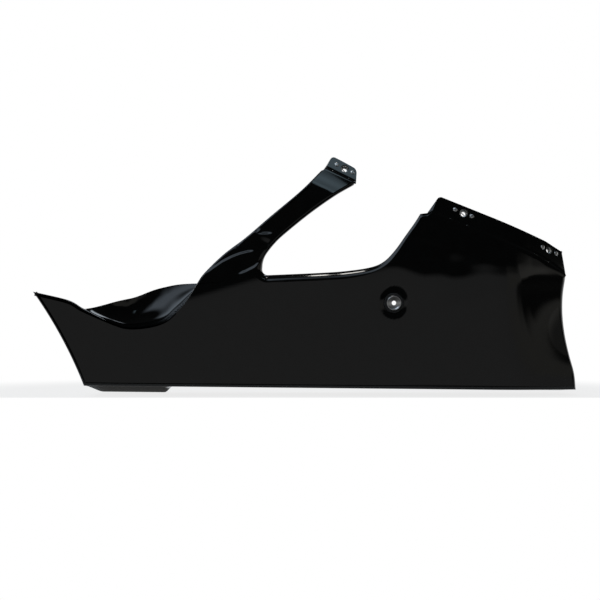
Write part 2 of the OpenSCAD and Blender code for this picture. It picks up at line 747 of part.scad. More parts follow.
// Flanged sleeve through the grommet, with a dished head outside
module side_bush() {
    bore_r = bush_bore_d / 2;
    shank_r = bore_r + 2.2;
    head_back = -dimple_h + grommet_lip + seat_gap;
    tip = -dimple_h - wall_t - grommet_lip - 1;
    rotate([90, 0, 0]) color([0.6, 0.6, 0.6])
        rotate_extrude($fn = 64)
            polygon([
                [bore_r, head_back + 0.4],
                [bore_r + 1.2, head_back + 0.6],
                [bush_head_d / 2 - 2.4, head_back + 1.3],
                [bush_head_d / 2 - 1, head_back + 2.2],
                [bush_head_d / 2 - 0.4, head_back + 2.2],
                [bush_head_d / 2, head_back + 1.8],
                [bush_head_d / 2, head_back],
                [shank_r, head_back],
                [shank_r, tip],
                [bore_r, tip]
            ]);
}

panel_shell();
side_grommet();
side_bush();
receptacle(tab_frame);  // tab_receptacle
spring(tab_frame);  // tab_spring
rivet(tab_frame, -1);  // tab_rivet_1
mandrel(tab_frame, -1);  // tab_mandrel_1
rivet(tab_frame, 1);  // tab_rivet_2
mandrel(tab_frame, 1);  // tab_mandrel_2
receptacle(upper_frame);  // upper_receptacle
spring(upper_frame);  // upper_spring
rivet(upper_frame, -1);  // upper_rivet_1
mandrel(upper_frame, -1);  // upper_mandrel_1
rivet(upper_frame, 1);  // upper_rivet_2
mandrel(upper_frame, 1);  // upper_mandrel_2
receptacle(lower_frame);  // lower_receptacle
spring(lower_frame);  // lower_spring
rivet(lower_frame, -1);  // lower_rivet_1
mandrel(lower_frame, -1);  // lower_mandrel_1
rivet(lower_frame, 1);  // lower_rivet_2
mandrel(lower_frame, 1);  // lower_mandrel_2
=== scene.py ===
import math

import bmesh
import bpy
from mathutils import Matrix, Vector


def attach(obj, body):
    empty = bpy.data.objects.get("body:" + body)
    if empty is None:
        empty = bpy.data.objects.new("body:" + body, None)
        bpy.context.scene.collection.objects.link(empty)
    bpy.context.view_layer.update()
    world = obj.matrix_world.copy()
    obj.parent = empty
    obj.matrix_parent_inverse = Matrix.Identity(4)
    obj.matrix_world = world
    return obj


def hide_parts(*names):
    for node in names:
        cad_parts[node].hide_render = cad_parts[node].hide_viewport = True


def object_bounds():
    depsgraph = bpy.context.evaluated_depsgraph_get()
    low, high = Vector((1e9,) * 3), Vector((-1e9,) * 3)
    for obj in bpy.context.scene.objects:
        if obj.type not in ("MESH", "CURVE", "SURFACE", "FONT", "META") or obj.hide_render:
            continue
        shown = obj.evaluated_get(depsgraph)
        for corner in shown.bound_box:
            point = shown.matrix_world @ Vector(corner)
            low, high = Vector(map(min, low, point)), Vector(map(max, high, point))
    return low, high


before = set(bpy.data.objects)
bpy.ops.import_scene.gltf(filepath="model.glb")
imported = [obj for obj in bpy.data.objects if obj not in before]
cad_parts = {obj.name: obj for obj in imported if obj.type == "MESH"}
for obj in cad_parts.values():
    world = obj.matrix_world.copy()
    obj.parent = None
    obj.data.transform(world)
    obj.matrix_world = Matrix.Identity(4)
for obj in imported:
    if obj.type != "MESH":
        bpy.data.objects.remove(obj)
cadLow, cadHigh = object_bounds()
mm = 0.001

# Camera: square on to the side wall, level, as in the photograph
cameraSetup = {
    "frameWidth": 0.846,   # metres across the picture in the plane of the side wall
    "aimX": -0.1325,
    "aimZ": 0.0042,
    "distance": 2.0,
    "sensor": 36.0,
}


def makeCamera(c):
    data = bpy.data.cameras.new("camera")
    data.sensor_width = c["sensor"]
    data.lens = c["sensor"] * c["distance"] / c["frameWidth"]
    data.clip_end = 60
    cam = bpy.data.objects.new("camera", data)
    cam.location = (c["aimX"], -c["distance"], c["aimZ"])
    cam.rotation_euler = (math.radians(90), 0, 0)
    bpy.context.collection.objects.link(cam)
    bpy.context.scene.camera = cam


makeCamera(cameraSetup)
print("camera placed")

# The belly pan's form in millimetres from the side bush: the solid's own sizes, but for the wider roll at the
# notch
pan = {
    "wall": 2.8,
    "roll": 5.0, "notchRoll": 11.0, "rimRoll": 2.5,   # radii of the rolled edges
    "returnDepth": 14.0, "halfWidth": 95.0,   # how deep the edges and the floor turn in
    "floorDrop": 5.0, "tailLipDrop": 14.0, "tailLipLength": 106.0,
    "tailX": 510.0, "tailZ": 16.0, "rearFootX": 438.0, "rearFootZ": 117.0, "rearBow": 4.5,
    "frontFootX": 262.0, "frontFootZ": 124.0, "frontBow": 12.0,
    "scoopX": 362.0, "scoopZ": 35.0, "scoopHeight": 51.0, "scoopDepth": 50.0,
    "notchX": 186.0, "notchZ": 39.5, "notchRadius": 8.0,
    "shoulderX": 39.0, "shoulderZ": 127.0,
    "armX": 102.0, "armZ": 190.0, "armWidth": 53.0,
    "tabFall": 26.6, "tabLength": 21.5, "tabRadius": 6.0,   # the fall in degrees
    "joggleStart": 16.0, "frontTopX": 252.0, "frontTopZ": 39.0,
    "flangeWidth": 26.5, "joggleDepth": 3.0, "joggleRun": 4.0,
    "tipLength": 30.0, "tipSlope": 0.24, "tipBend": 5.0,   # the arm's end bends back
    "leanZ": 42.0, "leanSlope": 0.2, "leanBend": 24.0,   # the upper part leans back
    "leanFall": 0.3, "leanRise": 0.9, "fallFrom": -150, "riseFrom": -300, "fallBend": 30,
    "turnX": 140.0, "turnBend": 60.0, "turnSlope": 0.6,   # the front turns in, less so low down
    "turnLow": 0.45, "turnLowZ": -110, "turnRun": 130,
    "studHole": 11.5, "rivetPitch": 25.4, "rivetHole": 3.4,
    "tabSeat": 14.3, "flangeSeat": 17.6, "upperAt": 42.0, "lowerAt": 180.0,   # places of the receptacles
    "wallHole": 21.0, "dimpleDepth": 2.5, "dimpleDiameter": 43.0, "dimpleRim": 6.5,
    "cell": 4.0, "wallRows": 44, "rollSteps": 7, "edgeSteps": 8,   # fineness of the mesh
    "cutLength": 30.0, "holeSides": 64, "wallHoleSides": 96,   # the rods that cut the holes
    "sharpFrom": 35.0,   # edges steeper than this, in degrees, stay sharp
}


def mix(a, b, t):
    if isinstance(a, (float, int)):
        return a + (b - a) * t
    return [x + (y - x) * t for x, y in zip(a, b)]


def add(a, b, k=1.0):
    return [x + k * y for x, y in zip(a, b)]


def unit(v):
    n = math.sqrt(sum(x * x for x in v))
    return [x / n for x in v]


def dist(a, b):
    return math.hypot(a[0] - b[0], a[1] - b[1])


def ease(t):
    t = min(1.0, max(0.0, t))
    return t * t * (3 - 2 * t)


def bend(d, w):
    if d <= 0:
        return 0.0
    return d * d / (2 * w) if d < w else d - w / 2


def leanLine(x):   # the lean's start drops towards the scoop and rises again behind it
    fall = pan["leanFall"] * bend(pan["fallFrom"] - x, pan["fallBend"])
    return pan["leanZ"] - fall + pan["leanRise"] * bend(pan["riseFrom"] - x, pan["fallBend"])


def turnAt(z):
    low = pan["turnLow"]
    return pan["turnSlope"] * (low + (1 - low) * ease((z - pan["turnLowZ"]) / pan["turnRun"]))


def dimple(x, z):
    outer = pan["dimpleDiameter"] / 2
    return pan["dimpleDepth"] * ease((outer - math.hypot(x, z)) / pan["dimpleRim"])


def tipAt(x, z):   # distance past the bend of the arm's end, along the arm
    fall = math.radians(pan["tabFall"])
    return (x + pan["armX"] - 6) * math.sin(fall) + (z - pan["armZ"] - 3) * math.cos(fall) + pan["tipLength"]


# Gentle unevenness of the moulding, in millimetres: ahead of the bush the lean's start wanders and a faint
# fold rises towards the front flange, and the arm's end is slightly hollow
unevenness = {
    "stops": [(-40, 0), (0, 9), (45, -3), (90, -1), (130, 7), (155, 3), (185, 0)],   # x and the shift there
    "evenFrom": 52.0, "evenOver": 45.0,   # heights over which the face comes back to its plain depth
    "fold": [(60, -12), (79, -6), (114, 1.4), (163, 18), (192, 36), (216, 50), (300, 80)],   # its x and z
    "foldSlope": 0.045, "foldBend": 5.0, "foldTop": 46.0, "foldStart": 25.0, "foldOut": 36.0,
    "tipHollow": 0.8,
}


def wander(x):
    stops = unevenness["stops"]
    for (a, low), (b, high) in zip(stops, stops[1:]):
        if a <= x <= b:
            return mix(low, high, ease((x - a) / (b - a)))
    return 0.0


def foldDepth(x, z):   # a slight lean between the front fold and the main lean, given back above
    line = unevenness["fold"]
    if x <= line[0][0] or z <= line[0][1]:
        return 0.0
    for (a, low), (b, high) in zip(line, line[1:]):
        if a <= x <= b:
            start, top = mix(low, high, (x - a) / (b - a)), unevenness["foldTop"]
            if start >= top:
                return 0.0
            share = ease((x - line[0][0]) / unevenness["foldStart"]) * unevenness["foldSlope"]
            full = bend(min(z, top) - start, unevenness["foldBend"])
            return share * full * (1 - ease((z - top) / unevenness["foldOut"]))
    return 0.0


def faceY(x, z):   # depth of the outer face behind the flat of the side wall
    change = wander(x)
    lean = pan["leanSlope"] * bend(z - leanLine(x) - change + pan["leanBend"] / 2, pan["leanBend"])
    lean += pan["leanSlope"] * change * ease((z - unevenness["evenFrom"]) / unevenness["evenOver"])
    tip = 0
    if x < pan["shoulderX"] - pan["armWidth"]:
        t = tipAt(x, z)
        tip = pan["tipSlope"] * bend(t, pan["tipBend"])
        if 0 < t < pan["tipLength"]:
            tip += unevenness["tipHollow"] * math.sin(math.pi * t / pan["tipLength"])
    return lean + turnAt(z) * bend(x - pan["turnX"], pan["turnBend"]) + tip + dimple(x, z) + foldDepth(x, z)


def faceSlope(x, z):
    return [faceY(x + 0.5, z) - faceY(x - 0.5, z), faceY(x, z + 0.5) - faceY(x, z - 0.5)]


def stretch(x, z):
    sx, sz = faceSlope(x, z)
    return math.sqrt(1 + sx * sx + sz * sz)


# An edge station: x, z, offset of the free edge in x and z, its depth, roll, hollow, joggle
def station(p, e=(0, 0), d=None, hollow=0.0, joggle=0.0, r=None):
    return [p[0], p[1], e[0], e[1], pan["returnDepth"] if d is None else d, r or pan["roll"], hollow, joggle]


def splineAt(s, i, t):   # a smooth curve through the stations, all their values together
    p1, p2 = s[i], s[i + 1]
    p0 = s[i - 1] if i > 0 else [2 * a - b for a, b in zip(p1, p2)]
    p3 = s[i + 2] if i + 2 < len(s) else [2 * b - a for a, b in zip(p1, p2)]
    out = [
        0.5 * (2 * b + (c - a) * t + (2 * a - 5 * b + 4 * c - d) * t * t + (3 * b - a - 3 * c + d) * t ** 3)
        for a, b, c, d in zip(p0, p1, p2, p3)
    ]
    out[6] = min(1.0, max(0.0, out[6]))
    out[7] = mix(p1[7], p2[7], t)
    return out


def curve(s):
    out = []
    for i in range(len(s) - 1):
        n = max(1, round(dist(s[i], s[i + 1]) / pan["cell"]))
        out += [splineAt(s, i, k / n) for k in range(n)]
    return out + [s[-1]]


def along(s, n):   # the same curve in n even steps
    fine = [splineAt(s, i, k / 24) for i in range(len(s) - 1) for k in range(24)] + [s[-1]]
    run = [0.0]
    for a, b in zip(fine, fine[1:]):
        run.append(run[-1] + dist(a, b))
    out, i = [], 0
    for k in range(n + 1):
        q = run[-1] * k / n
        while i < len(run) - 2 and q > run[i + 1]:
            i += 1
        out.append(mix(fine[i], fine[i + 1], min(1.0, (q - run[i]) / (run[i + 1] - run[i]))))
    return out


def roundOff(s, length, r):
    e = min(s, length - s)
    return 0.0 if e >= r else r - math.sqrt(max(0.0, r * r - (r - e) * (r - e)))


def cornerSteps(length, r, n, both):   # distances along an edge, closer together at its rounded ends
    start = [r * (1 - math.cos(math.radians(90 * k / 5))) for k in range(5)]
    middle = [mix(r, length - r if both else length, k / n) for k in range(n + 1)]
    end = [length - s for s in reversed(start)] if both else []
    return start + middle + end


def panEdges():
    p = pan
    edges = {}
    tailTip, rearFoot = [-p["tailX"], p["tailZ"]], [-p["rearFootX"], -p["rearFootZ"]]
    frontFoot = [p["frontFootX"], -p["frontFootZ"]]
    notchCentre = [-p["notchX"] + p["notchRadius"], p["notchZ"] + p["notchRadius"]]
    shoulder = [p["shoulderX"], p["shoulderZ"]]
    low = [-p["scoopX"], -p["scoopZ"]]
    armCorner = [-p["armX"], p["armZ"]]
    fall = math.radians(p["tabFall"])
    tabDir, tabUp = [math.cos(fall), -math.sin(fall)], [math.sin(fall), math.cos(fall)]
    tabStart = add(armCorner, [6, 3])
    tabEnd = add(tabStart, tabDir, p["armWidth"] - 4)
    joggleA = add(shoulder, [p["joggleStart"], 1.4])
    joggleB = [p["frontTopX"], p["frontTopZ"]]
    straightEnd = [p["frontTopX"] - 41, p["frontTopZ"] + 25.4]
    flangeDir = unit(add(straightEnd, joggleA, -1))
    flangeUp = [-flangeDir[1], flangeDir[0]]
    armRoot = [-278, 28]
    h, d = p["scoopHeight"], p["scoopDepth"]

    rim = p["rimRoll"]
    edges["scoop"] = curve([
        station(tailTip), station([-460, 4]), station([-438, -8]),
        station([-398, -28], [6, 31], 0.62 * d, 1, r=rim),
        station(add(low, [-12, 0.2]), [5, h * 0.85], 0.86 * d, 1, r=rim),
        station(add(low, [18, 2.5]), [0, h], d, 1, r=rim),
        station([-323, -25.5], [0, h - 1.5], d, 1, r=rim),
        station([-309, -14], [2, h * 0.8], d, 1, r=rim),
        station([-295, 0.5], [8, h * 0.54], d, 1, r=rim),
        station([-285, 15.5], [15, h * 0.25], d * 0.95, 1, r=rim),
        station(armRoot, [22, 2], d * 0.86, 0.7, r=rim),
    ])
    edges["armRear"] = curve([
        station(armRoot, [22, 2], d * 0.86, 0.7, r=rim),
        station([-268, 42.5], [16, 0], d * 0.7, 0.3, r=rim),
        station([-241, 69], [3, -1], p["returnDepth"] * 1.4, r=rim),
        station([-209, 93.5], r=rim), station([-178, 120.5], r=rim), station([-131, 160.5], r=rim),
        station(armCorner, r=rim),
    ])
    armRows = len(edges["armRear"]) - 1
    arcSteps = 6

    def notchArc(a):
        r = p["notchRadius"]
        turn = math.radians(a)
        return station(add(notchCentre, [math.cos(turn), math.sin(turn)], r), r=p["notchRoll"])

    upper = along([
        notchArc(180), station([-185, 58], r=9), station([-180.5, 69], r=7),
        station([-167.5, 85.5]), station([-152, 100]),
        station([-117, 128.5]), station([-81, 154]), station(tabEnd),
    ], armRows - arcSteps)
    edges["armFront"] = [notchArc(225 - 45 * k / arcSteps) for k in range(arcSteps)] + upper

    tabLine = dist(tabStart, tabEnd)
    edges["tab"] = [station(armCorner), station(mix(armCorner, tabStart, 0.5))]
    for s in cornerSteps(tabLine, p["tabRadius"], 9, True):
        up = unit(mix(tabUp, [0.08, 1], s / tabLine))
        reach = p["tabLength"] - roundOff(s, tabLine, p["tabRadius"])
        edges["tab"].append(
            station(add(tabStart, tabDir, s), [u * reach for u in up], p["joggleDepth"], 0, 1))

    corner = [notchArc(225 + 45 * k / arcSteps) for k in range(arcSteps)]
    edges["notch"] = corner + curve([
        notchArc(270), station([-108.5, 42.5], r=p["notchRoll"]), station([-67.5, 45.3], r=p["notchRoll"]),
        station([-33, 50.5], r=9), station([-14, 58.5], r=7),
        station([2, 74.5], r=6), station([18, 96.5]), station([31, 114.5]), station(shoulder),
    ])

    flangeLine = dist(straightEnd, joggleA)
    edges["flange"] = curve([station(shoulder), station(add(joggleA, [-6, -0.2]), d=p["returnDepth"] * 0.5)])
    for s in cornerSteps(flangeLine, 6, 44, False):
        reach = p["flangeWidth"] - roundOff(s, 2 * flangeLine, 6)
        edges["flange"].append(
            station(add(joggleA, flangeDir, s), [u * reach for u in flangeUp], p["joggleDepth"], 0, 1))
    wide = p["flangeWidth"]
    bendOver = [
        edges["flange"][-1],
        station(mix(straightEnd, joggleB, 0.5), [0.53 * wide, 0.87 * wide], p["joggleDepth"], 0, 1),
        station(joggleB, [-0.21 * wide, 1.38 * wide], p["joggleDepth"], 0, 1),
    ]
    edges["flange"] += curve(bendOver)[1:]

    fx, fz = p["frontFootX"], p["frontFootZ"]
    edges["front"] = along([
        station(frontFoot), station([fx - 2.5, -fz + 24]), station([fx - p["frontBow"] + 3, -74]),
        station([fx - p["frontBow"] - 2, -46]), station([fx - p["frontBow"] - 4, -17]),
        station([fx - p["frontBow"] - 2.5, 12]), station(joggleB),
    ], p["wallRows"])

    side = unit([tailTip[1] - rearFoot[1], p["tailX"] - p["rearFootX"]])
    edges["rear"] = []
    for k in range(p["wallRows"] + 1):
        t = k / p["wallRows"]
        edges["rear"].append(station(add(mix(rearFoot, tailTip, t), side, 4 * t * (1 - t) * p["rearBow"])))

    rootSteps = len(edges["tab"]) - 1
    notchMid = notchArc(225)
    root = [station(mix(armRoot, notchMid[:2], k / rootSteps)) for k in range(rootSteps + 1)]
    top = edges["scoop"] + root[1:] + edges["notch"][1:] + edges["flange"][1:]
    stops = [(-p["tailX"], -p["rearFootX"]), (-300, -285), (150, 148), (p["frontTopX"], p["frontFootX"])]

    def bottomX(x):
        for (a, b), (c, e) in zip(stops, stops[1:]):
            if x <= c:
                return mix(b, e, (x - a) / (c - a))
        return stops[-1][1]

    cols = len(top) - 1
    edges["bottom"] = []
    for i in range(cols + 1):
        x = -p["rearFootX"] if i == 0 else p["frontFootX"] if i == cols else bottomX(top[i][0])
        z = -mix(p["rearFootZ"], p["frontFootZ"], (x + p["rearFootX"]) / (p["frontFootX"] + p["rearFootX"]))
        share = ease(min(x + p["rearFootX"], p["frontFootX"] - x) / 14)
        lip = 1 - ease((x + p["rearFootX"] - p["tailLipLength"]) / 12)
        drop = mix(p["floorDrop"], p["tailLipDrop"], lip)
        depth = mix(p["returnDepth"], p["halfWidth"] - faceY(x, z), share)
        edges["bottom"].append(station([x, z], [0, -drop * share], depth))
    edges["places"] = {
        "tab": (add(add(tabStart, tabDir, tabLine / 2), tabUp, p["tabSeat"]), tabDir),
        "upper": (add(add(joggleA, flangeDir, p["upperAt"]), flangeUp, p["flangeSeat"]), flangeDir),
        "lower": (add(add(joggleA, flangeDir, p["lowerAt"]), flangeUp, p["flangeSeat"]), flangeDir),
    }
    return edges


def ringProfile(s, out, k):   # offset and depth across an edge at ring row k
    rollK, edgeK = pan["rollSteps"], pan["edgeSteps"]
    a = math.radians(min(1.0, k / rollK) * 90)
    t = max(0, k - rollK) / edgeK
    reach = mix(t, 1 - math.cos(math.radians(90 * t)), s[6])
    rolled = [out[i] * s[5] * (math.sin(a) - 1) + s[2 + i] * reach for i in (0, 1)]
    rolledDepth = s[5] * (1 - math.cos(a)) + (s[4] - s[5]) * mix(t, math.sin(math.radians(90 * t)), s[6])
    length = max(math.hypot(s[2], s[3]), 0.01)
    run = mix(pan["joggleRun"] * min(1.0, k / rollK), length, t)
    stepped = [s[2 + i] / length * run for i in (0, 1)]
    steppedDepth = pan["joggleDepth"] * ease(k / rollK)
    return mix(rolled, stepped, s[7]), mix(rolledDepth, steppedDepth, s[7])


def panMesh():
    e = panEdges()
    rows, rings = pan["wallRows"], pan["rollSteps"] + pan["edgeSteps"]
    root = len(e["tab"]) - 1
    armRows = len(e["armRear"]) - 1
    rootA = len(e["scoop"]) - 1
    cols = len(e["bottom"]) - 1
    order = [e["bottom"], e["front"], e["flange"][::-1], e["notch"][::-1], e["armFront"], e["tab"][::-1],
             e["armRear"][::-1], e["scoop"][::-1], e["rear"][::-1]]
    loop, starts = [], []
    for part in order:
        starts.append(len(loop))
        loop += part[:-1]
    n = len(loop)
    atFront, atFlange, atNotch, atArmFront, atTab, atArmRear, atScoop, atRear = starts[1:]
    outward = []
    for l in range(n):
        a = unit([loop[(l + 1) % n][i] - loop[l][i] for i in (0, 1)])
        b = unit([loop[l][i] - loop[l - 1][i] for i in (0, 1)])
        outward.append(unit([a[1] + b[1], -a[0] - b[0]]))
    face = [add(loop[l][:2], outward[l], -(1 - loop[l][7]) * loop[l][5]) for l in range(n)]

    def topPoint(i):
        if i <= rootA:
            return face[(atRear - i) % n]
        if i < rootA + root:
            return mix(face[atScoop], face[atArmFront], (i - rootA) / root)
        if i <= rootA + root + atArmFront - atNotch:
            return face[atArmFront - (i - rootA - root)]
        return face[atNotch - (i - rootA - root - (atArmFront - atNotch))]

    def coons(b, t, l, r, u, v, c):
        flat = mix(mix(c[0], c[1], u), mix(c[2], c[3], u), v)
        return [x + y - z for x, y, z in zip(mix(b, t, v), mix(l, r, u), flat)]

    wallCorners = [face[0], face[atFront], topPoint(0), topPoint(cols)]
    armCorners = [topPoint(rootA), topPoint(rootA + root), face[atArmRear], face[atTab]]
    flatPoints, wallId, armId = [], {}, {}
    for i in range(cols + 1):
        for j in range(rows + 1):
            left, right = face[(n - j) % n], face[atFront + j]
            if j == 0:
                q = face[i]
            elif j == rows:
                q = topPoint(i)
            elif i == 0:
                q = left
            elif i == cols:
                q = right
            else:
                v = j / rows
                q = coons(face[i], topPoint(i), left, right, i / cols, v + 0.35 * v * (1 - v), wallCorners)
            wallId[i, j] = len(flatPoints)
            flatPoints.append(q)
    for m in range(root + 1):
        armId[m, 0] = wallId[rootA + m, rows]
        for k in range(1, armRows + 1):
            left, right, cap = face[atScoop - k], face[atArmFront + k], face[atArmRear - m]
            if m == 0:
                q = left
            elif m == root:
                q = right
            elif k == armRows:
                q = cap
            else:
                q = coons(topPoint(rootA + m), cap, left, right, m / root, k / armRows, armCorners)
            armId[m, k] = len(flatPoints)
            flatPoints.append(q)

    def loopId(l):
        l %= n
        if l < atFront:
            return wallId[l, 0]
        if l <= atFlange:
            return wallId[cols, l - atFront]
        if l <= atArmFront:
            return wallId[cols - (l - atFlange), rows]
        if l <= atTab:
            return armId[root, l - atArmFront]
        if l <= atArmRear:
            return armId[root - (l - atTab), armRows]
        if l <= atScoop:
            return armId[0, atScoop - l]
        if l <= atRear:
            return wallId[rootA - (l - atScoop), rows]
        return wallId[0, n - l]

    def space(q, d=0.0):
        return (q[0] * mm, (faceY(q[0], q[1]) + d) * mm, q[1] * mm)

    outer = [space(q) for q in flatPoints]
    inner = [space(q, pan["wall"] * stretch(q[0], q[1])) for q in flatPoints]
    base = len(flatPoints)
    for k in range(1, rings + 1):
        for l in range(n):
            off, depth = ringProfile(loop[l], outward[l], k)
            across = off[0] * outward[l][0] + off[1] * outward[l][1]
            beforeOff, beforeD = ringProfile(loop[l], outward[l], k - 1)
            afterOff, afterD = ringProfile(loop[l], outward[l], min(k + 1, rings))
            dn = sum((afterOff[i] - beforeOff[i]) * outward[l][i] for i in (0, 1))
            tn, td = unit([dn, afterD - beforeD])
            q = add(loop[l][:2], off)
            outer.append(space(q, depth))
            q = add(q, outward[l], -td * pan["wall"])
            inner.append(space(q, depth + tn * pan["wall"] * stretch(q[0], q[1])))

    def ringId(l, k):
        return loopId(l) if k == 0 else base + (k - 1) * n + l % n

    quads = []
    for i in range(cols):
        for j in range(rows):
            quads.append((wallId[i, j], wallId[i + 1, j], wallId[i + 1, j + 1], wallId[i, j + 1]))
    for m in range(root):
        for k in range(armRows):
            quads.append((armId[m, k], armId[m + 1, k], armId[m + 1, k + 1], armId[m, k + 1]))
    for k in range(rings):
        for l in range(n):
            quads.append((ringId(l, k), ringId(l, k + 1), ringId(l + 1, k + 1), ringId(l + 1, k)))
    skin = len(outer)
    rim = [(ringId(l, rings), skin + ringId(l, rings), skin + ringId(l + 1, rings), ringId(l + 1, rings))
           for l in range(n)]
    faces = quads + [tuple(skin + v for v in reversed(q)) for q in quads] + rim
    mesh = bpy.data.meshes.new("panSkin")
    mesh.from_pydata(outer + inner, [], faces)
    mesh.validate()
    mesh.polygons.foreach_set("material_index", [0] * len(quads) + [1] * len(quads) + [2] * len(rim))
    mesh.polygons.foreach_set("use_smooth", [True] * len(faces))
    return mesh, e["places"]


def hardwareMatrix(place):   # origin on the outer face, X along the rivets, Z outwards
    p, line = place
    s = faceSlope(*p)
    normal = Vector((s[0], -1, s[1])).normalized()
    x = Vector((line[0], s[0] * line[0] + s[1] * line[1], line[1])).normalized()
    y = normal.cross(x)
    depth = pan["joggleDepth"] / stretch(*p)
    o = Vector((p[0], faceY(*p), p[1])) - depth * normal
    m = Matrix((x, y, normal)).transposed().to_4x4()
    m.translation = o * mm
    return m


def makeMaterial(name, build):
    mat = bpy.data.materials.new(name)
    mat.use_nodes = True
    nodes, links = mat.node_tree.nodes, mat.node_tree.links
    shader = nodes["Principled BSDF"]
    build(nodes, links, shader)
    return mat


def noise(nodes, links, coords, scale, detail):
    n = nodes.new("ShaderNodeTexNoise")
    n.inputs["Scale"].default_value = scale
    n.inputs["Detail"].default_value = detail
    links.new(coords, n.inputs["Vector"])
    return n


def ramp(nodes, links, source, stops):
    r = nodes.new("ShaderNodeValToRGB")
    while len(r.color_ramp.elements) < len(stops):
        r.color_ramp.elements.new(0.5)
    for el, (at, colour) in zip(r.color_ramp.elements, stops):
        el.position = at
        el.color = (*colour, 1)
    links.new(source, r.inputs["Fac"])
    return r


def bump(nodes, links, shader, height, strength, distance):
    b = nodes.new("ShaderNodeBump")
    b.inputs["Strength"].default_value = strength
    b.inputs["Distance"].default_value = distance
    links.new(height, b.inputs["Height"])
    links.new(b.outputs["Normal"], shader.inputs["Normal"])


# The moulding's finishes: how fine the colour varies from dark to light, and the strength and depth of bumps
panLooks = {
    "gelcoat": {
        "dark": (0.0025, 0.0028, 0.0026), "light": (0.0045, 0.005, 0.0047), "grain": 60, "detail": 5,
        "smooth": 0.05, "dull": 0.09, "haze": 14,   # roughness from smooth to dull
        "wave": 9, "bump": (0.25, 0.0006), "ior": 1.5,
    },
    # the inside's bare laminate; its dark tone also serves as painted shade on the tail lip's underside
    "laminate": {
        "dark": (0.012, 0.012, 0.011), "light": (0.035, 0.034, 0.03), "grain": 240, "detail": 4,
        "roughness": 0.55, "bump": (0.6, 0.0008),
    },
    "cutEdge": {
        "dark": (0.01, 0.01, 0.009), "light": (0.03, 0.028, 0.022), "grain": 500, "detail": 3,
        "roughness": 0.6,
    },
}


def gelcoat(nodes, links, shader):
    c = panLooks["gelcoat"]
    coords = nodes.new("ShaderNodeTexCoord").outputs["Object"]
    dust = noise(nodes, links, coords, c["grain"], c["detail"])
    tone = ramp(nodes, links, dust.outputs["Fac"], [(0.35, c["dark"]), (0.75, c["light"])])
    links.new(tone.outputs["Color"], shader.inputs["Base Color"])
    haze = noise(nodes, links, coords, c["haze"], 4)
    rough = ramp(nodes, links, haze.outputs["Fac"], [(0.3, (c["smooth"],) * 3), (0.8, (c["dull"],) * 3)])
    links.new(rough.outputs["Color"], shader.inputs["Roughness"])
    wave = noise(nodes, links, coords, c["wave"], 2)
    bump(nodes, links, shader, wave.outputs["Fac"], *c["bump"])
    shader.inputs["IOR"].default_value = c["ior"]


def grained(c):   # an even roughness and a fine grain in colour and height
    def build(nodes, links, shader):
        coords = nodes.new("ShaderNodeTexCoord").outputs["Object"]
        grain = noise(nodes, links, coords, c["grain"], c["detail"])
        tone = ramp(nodes, links, grain.outputs["Fac"], [(0.3, c["dark"]), (0.7, c["light"])])
        links.new(tone.outputs["Color"], shader.inputs["Base Color"])
        shader.inputs["Metallic"].default_value = c.get("metallic", 0.0)
        shader.inputs["Roughness"].default_value = c["roughness"]
        if "bump" in c:
            bump(nodes, links, shader, grain.outputs["Fac"], *c["bump"])
    return build


# Soft moulded steps at the root of the arm, lines of x and z in millimetres with the face set back above them
swages = {
    "depth": 1.3, "width": 3.6, "fade": 26.0, "taper": 11.0,
    "lines": [
        [(-268, 41), (-256.6, 49.4), (-242.5, 59.2), (-228.4, 66.3), (-217, 70.5), (-205.9, 73.3),
         (-194.6, 74.7)],
        [(-220, 75), (-221, 80), (-217.5, 85.3), (-210, 90.7)],
        [(-196, 98.7), (-182, 99.2), (-169.2, 99.4)],
        [(-197, 98), (-190, 105), (-185, 109.5)],
        [(-222, 40.2), (-208.7, 45.7), (-197.4, 51.5), (-189, 58.5), (-183.3, 69), (-177.7, 80.4),
         (-172, 91.6)],
    ],
    "fineX": (-292, -158), "fineZ": (12, 140), "fineDepth": 34, "cuts": 2,   # where the mesh is made finer
    "movedX": (-295, -150), "movedZ": (10, 145), "movedDepth": 36,   # and where its points move
}


def swageDepth(x, z):
    total = 0.0
    for line in swages["lines"]:
        runs, best = 0.0, None
        for a, b in zip(line, line[1:]):
            length = dist(a, b)
            ux, uz = (b[0] - a[0]) / length, (b[1] - a[1]) / length
            t = min(length, max(0.0, (x - a[0]) * ux + (z - a[1]) * uz))
            dx, dz = x - a[0] - t * ux, z - a[1] - t * uz
            d = math.hypot(dx, dz)
            if best is None or d < best[0]:
                best = (d, math.copysign(d, dz * ux - dx * uz), runs + t)
            runs += length
        d, side, at = best
        w, taper = swages["width"], swages["taper"]
        ends = ease(at / taper) * ease((runs - at) / taper)
        total += swages["depth"] * ends * ease(side / w + 0.5) * (1 - ease((side - w / 2) / swages["fade"]))
    return total


def within(point, xs, zs, depth):
    x, y, z = (v / mm for v in point)
    return xs[0] < x < xs[1] and zs[0] < z < zs[1] and y < depth


def addSwages(mesh):
    c = swages
    bm = bmesh.new()
    bm.from_mesh(mesh)
    near = [f for f in bm.faces if f.material_index == 0 and f.normal.y < -0.8
            and within(f.calc_center_median(), c["fineX"], c["fineZ"], c["fineDepth"])]
    inside = list({e for f in near for e in f.edges})
    bmesh.ops.subdivide_edges(bm, edges=inside, cuts=c["cuts"], use_grid_fill=True)
    for v in bm.verts:
        if within(v.co, c["movedX"], c["movedZ"], c["movedDepth"]):
            v.co.y += swageDepth(v.co.x / mm, v.co.z / mm) * mm
    bm.to_mesh(mesh)
    bm.free()


# Painted shade: the underside of the tail's lip takes the dark matte laminate finish of the inside, standing
# in for the shade it lies in under the pan; where that starts and ends, in millimetres
lip = {"past": 8, "below": -115, "behind": 5.5}


